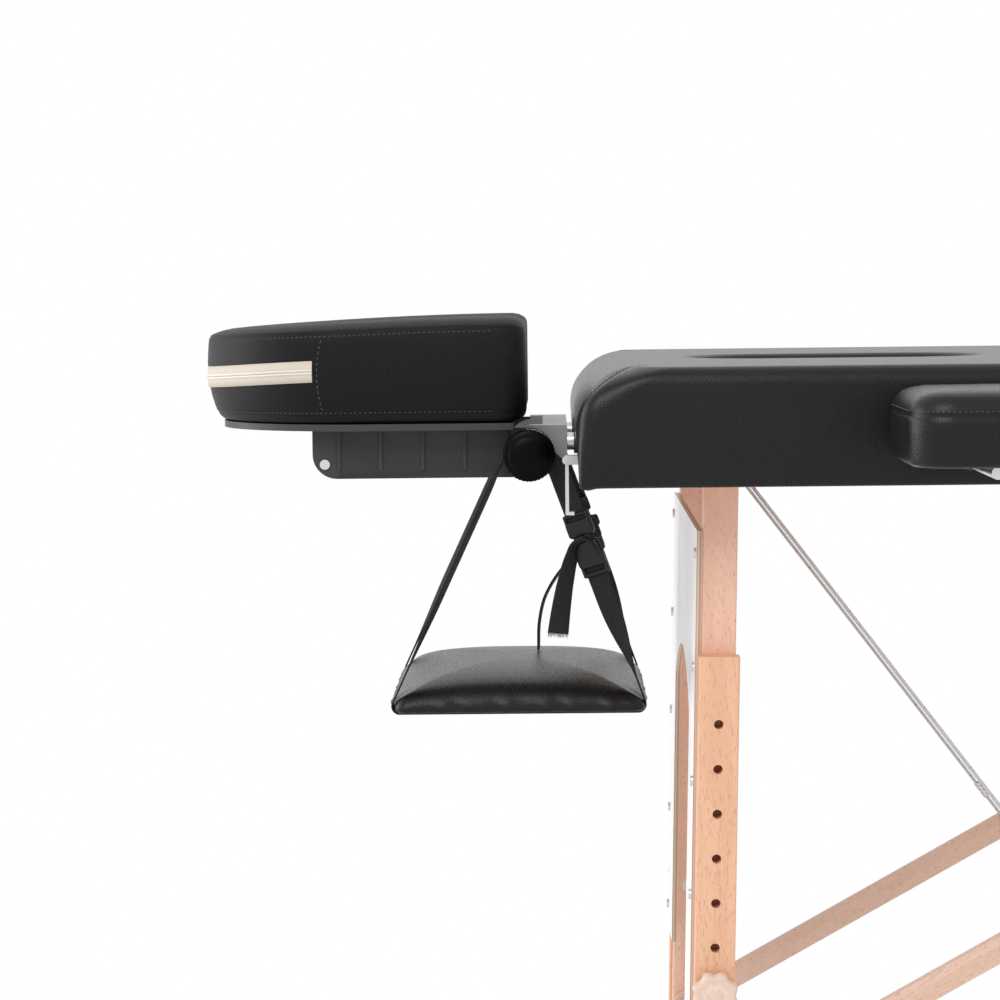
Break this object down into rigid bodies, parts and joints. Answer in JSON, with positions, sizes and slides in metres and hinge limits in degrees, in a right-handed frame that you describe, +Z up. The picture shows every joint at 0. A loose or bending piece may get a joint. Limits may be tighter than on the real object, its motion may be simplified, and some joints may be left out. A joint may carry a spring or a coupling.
{
  "type": "massage table",
  "caption": "Folding massage table on wooden legs with cable-locked braces, a tilting horseshoe headrest, a hanging arm sling and side armrests.",
  "frame": {"origin": "on the floor under the middle of the overall length, headrest included", "axes": "+X along the table towards the foot end, +Y towards the far side, +Z up"},
  "size_m": [2.187, 0.992, 0.7594],
  "materials": {
    "black_leather": "matte, fine pebble grain",
    "beech": "clear lacquer, satin",
    "plywood": "clear lacquer, gloss",
    "steel": "nickel plated",
    "cable": "bright wire",
    "black_plastic": "moulded, satin",
    "grey_casting": "satin",
    "webbing": "woven",
    "beige_plastic": "moulded, satin",
    "rubber": "matte"
  },
  "bodies": {
    "head_section": {"head_side_rails": "beech", "head_cross_rails": "beech", "head_deck": "plywood", "head_cushion": "black_leather", "head_skirt": "black_leather", "rail_bushes": "black_plastic", "head_hinge_leaves": "steel", "hinge_pins": "steel", "head_fittings": "steel", "head_cables": "cable"},
    "foot_section": {"foot_side_rails": "beech", "foot_cross_rails": "beech", "foot_deck": "plywood", "foot_cushion": "black_leather", "foot_skirt": "black_leather", "foot_hinge_leaves": "steel", "foot_fittings": "steel", "foot_cables": "cable"},
    "head_leg_frame": {"head_posts": "beech", "head_panel": "plywood", "head_leg_bolts": "steel"},
    "head_lower_brace": {"head_lower_slats": "beech"},
    "head_upper_brace": {"head_upper_slats": "beech", "head_elbow_bolts": "steel"},
    "far_head_leg": {"far_head_extension": "beech", "far_head_foot": "rubber"},
    "far_head_leg_knob": {"far_head_leg_knob": "beige_plastic"},
    "near_head_leg": {"near_head_extension": "beech", "near_head_foot": "rubber"},
    "near_head_leg_knob": {"near_head_leg_knob": "beige_plastic"},
    "foot_leg_frame": {"foot_posts": "beech", "foot_panel": "plywood", "foot_leg_bolts": "steel"},
    "foot_lower_brace": {"foot_lower_slats": "beech"},
    "foot_upper_brace": {"foot_upper_slats": "beech", "foot_elbow_bolts": "steel"},
    "far_foot_leg": {"far_foot_extension": "beech", "far_foot_foot": "rubber"},
    "far_foot_leg_knob": {"far_foot_leg_knob": "beige_plastic"},
    "near_foot_leg": {"near_foot_extension": "beech", "near_foot_foot": "rubber"},
    "near_foot_leg_knob": {"near_foot_leg_knob": "beige_plastic"},
    "headrest_base": {"headrest_base": "grey_casting", "headrest_rods": "steel", "headrest_pivot": "black_plastic"},
    "headrest": {"tilt_bracket": "black_plastic", "bracket_rivets": "steel", "platform": "black_plastic", "face_cushion": "black_leather"},
    "clamp_knob": {"clamp_knob": "black_plastic"},
    "arm_sling": {"sling_pad": "black_leather", "sling_straps": "webbing", "sling_buckles": "black_plastic"},
    "near_armrest": {"near_armrest_pad": "black_leather", "near_armrest_frame": "steel"},
    "near_hook": {"near_latch_hook": "steel"},
    "far_armrest": {"far_armrest_pad": "black_leather", "far_armrest_frame": "steel"},
    "far_hook": {"far_latch_hook": "steel"}
  },
  "joints": [
    {"name": "table_fold", "type": "hinge", "parent": "head_section", "child": "foot_section", "pos_m": [0.1685, 0, 0.62], "axis": [0, 1, 0], "range_deg": [0, 90]},
    {"name": "head_leg_fold", "type": "hinge", "parent": "head_section", "child": "head_leg_frame", "pos_m": [-0.6315, 0, 0.648], "axis": [0, -1, 0], "range_deg": [0, 85], "deforming": ["head_cables"]},
    {"name": "head_lower_brace_turn", "type": "hinge", "parent": "head_leg_frame", "child": "head_lower_brace", "pos_m": [-0.64417, 0, 0.06714], "axis": [0, -1, 0], "range_deg": [0, 56.45]},
    {"name": "head_upper_brace_turn", "type": "hinge", "parent": "head_section", "child": "head_upper_brace", "pos_m": [0.1335, 0, 0.648], "axis": [0, 1, 0], "range_deg": [0, 41.78]},
    {"name": "far_head_leg_slide", "type": "slide", "parent": "head_leg_frame", "child": "far_head_leg", "axis": [-0.0218, 0, -0.9998], "range_m": [0, 0.0773]},
    {"name": "far_head_leg_knob_turn", "type": "hinge", "parent": "far_head_leg", "child": "far_head_leg_knob", "pos_m": [-0.64162, 0.2486, 0.18415], "axis": [0, 1, 0], "continuous": true},
    {"name": "near_head_leg_slide", "type": "slide", "parent": "head_leg_frame", "child": "near_head_leg", "axis": [-0.0218, 0, -0.9998], "range_m": [0, 0.0773]},
    {"name": "near_head_leg_knob_turn", "type": "hinge", "parent": "near_head_leg", "child": "near_head_leg_knob", "pos_m": [-0.64162, -0.2486, 0.18415], "axis": [0, -1, 0], "continuous": true},
    {"name": "foot_leg_fold", "type": "hinge", "parent": "foot_section", "child": "foot_leg_frame", "pos_m": [0.9685, 0, 0.648], "axis": [0, 1, 0], "range_deg": [0, 85], "deforming": ["foot_cables"]},
    {"name": "foot_lower_brace_turn", "type": "hinge", "parent": "foot_leg_frame", "child": "foot_lower_brace", "pos_m": [0.98117, 0, 0.06714], "axis": [0, 1, 0], "range_deg": [0, 56.45]},
    {"name": "foot_upper_brace_turn", "type": "hinge", "parent": "foot_section", "child": "foot_upper_brace", "pos_m": [0.2035, 0, 0.648], "axis": [0, -1, 0], "range_deg": [0, 41.78]},
    {"name": "far_foot_leg_slide", "type": "slide", "parent": "foot_leg_frame", "child": "far_foot_leg", "axis": [0.0218, 0, -0.9998], "range_m": [0, 0.0773]},
    {"name": "far_foot_leg_knob_turn", "type": "hinge", "parent": "far_foot_leg", "child": "far_foot_leg_knob", "pos_m": [0.97862, 0.2486, 0.18415], "axis": [0, 1, 0], "continuous": true},
    {"name": "near_foot_leg_slide", "type": "slide", "parent": "foot_leg_frame", "child": "near_foot_leg", "axis": [0.0218, 0, -0.9998], "range_m": [0, 0.0773]},
    {"name": "near_foot_leg_knob_turn", "type": "hinge", "parent": "near_foot_leg", "child": "near_foot_leg_knob", "pos_m": [0.97862, -0.2486, 0.18415], "axis": [0, -1, 0], "continuous": true},
    {"name": "headrest_slide", "type": "slide", "parent": "head_section", "child": "headrest_base", "axis": [-1, 0, 0], "range_m": [0, 0.07]},
    {"name": "headrest_tilt", "type": "hinge", "parent": "headrest_base", "child": "headrest", "pos_m": [-0.7965, 0, 0.642], "axis": [0, 1, 0], "range_deg": [-46, 40]},
    {"name": "clamp_knob_turn", "type": "hinge", "parent": "headrest_base", "child": "clamp_knob", "pos_m": [-0.7965, -0.15, 0.642], "axis": [0, -1, 0], "continuous": true},
    {"name": "sling_swing", "type": "hinge", "parent": "headrest_base", "child": "arm_sling", "pos_m": [-0.7965, 0, 0.642], "axis": [0, 1, 0], "range_deg": [-8, 25]},
    {"name": "near_armrest_slide", "type": "slide", "parent": "head_section", "child": "near_armrest", "axis": [0, -1, 0], "range_m": [0, 0.04]},
    {"name": "near_hook_swing", "type": "hinge", "parent": "head_section", "child": "near_hook", "pos_m": [-0.7635, -0.188, 0.64], "axis": [0, 1, 0], "range_deg": [0, 120]},
    {"name": "far_armrest_slide", "type": "slide", "parent": "head_section", "child": "far_armrest", "axis": [0, 1, 0], "range_m": [0, 0.04]},
    {"name": "far_hook_swing", "type": "hinge", "parent": "head_section", "child": "far_hook", "pos_m": [-0.7635, 0.188, 0.64], "axis": [0, 1, 0], "range_deg": [0, 120]}
  ],
  "couplings": [
    {"joint": "head_lower_brace_turn", "follows": "head_leg_fold", "ratio": 0.66412},
    {"joint": "head_upper_brace_turn", "follows": "head_leg_fold", "ratio": 0.49154},
    {"joint": "foot_lower_brace_turn", "follows": "foot_leg_fold", "ratio": 0.66412},
    {"joint": "foot_upper_brace_turn", "follows": "foot_leg_fold", "ratio": 0.49154}
  ]
}
